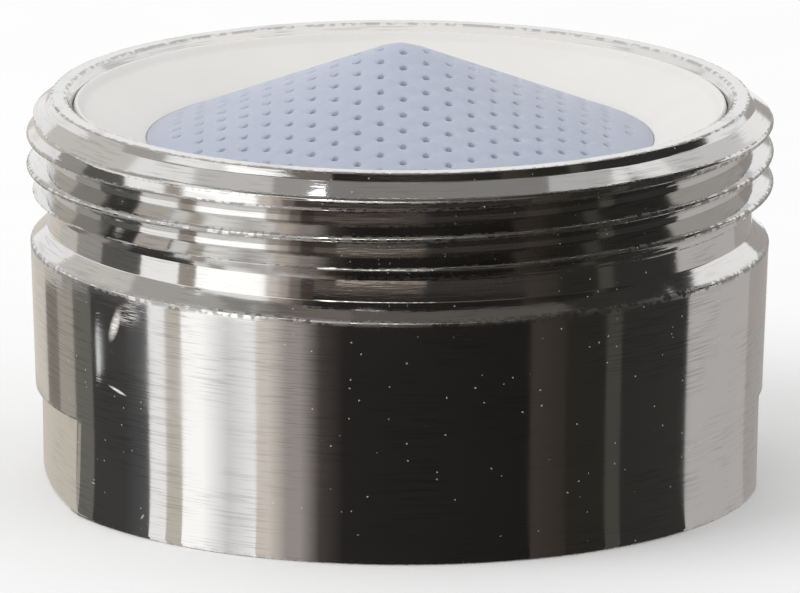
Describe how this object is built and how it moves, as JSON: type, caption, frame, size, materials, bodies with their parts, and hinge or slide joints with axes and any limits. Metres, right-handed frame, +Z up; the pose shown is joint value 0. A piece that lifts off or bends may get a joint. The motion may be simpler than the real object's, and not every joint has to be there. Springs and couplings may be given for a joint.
{
  "type": "tap aerator",
  "caption": "Round tap aerator: chromed threaded housing with spanner flats, white sealing washer and blue conical sieve over a grid insert that mixes air into the water.",
  "frame": {"origin": "the middle of the outlet face, on which the aerator stands", "axes": "+Z up along the thread's axis towards the inlet; the camera of the picture looks along +Y; the spanner flats face 10.5 degrees off X"},
  "size_m": [0.024, 0.024, 0.0143],
  "materials": {
    "chromed_brass": "polished chrome plate over turned brass, fine turning marks",
    "white_silicone": "smooth soft white silicone rubber",
    "blue_sieve_plastic": "satin moulded plastic, pale blue",
    "white_acetal": "satin moulded acetal, white"
  },
  "bodies": {
    "root": {"housing": "chromed_brass", "sealing_washer": "white_silicone", "inlet_sieve": "blue_sieve_plastic", "jet_plate": "white_acetal", "insert_body": "white_acetal", "mixing_grid_upper": "white_acetal", "spacer_ring_upper": "white_acetal", "mixing_grid_lower": "white_acetal", "spacer_ring_lower": "white_acetal", "outlet_grid": "white_acetal"}
  },
  "joints": []
}
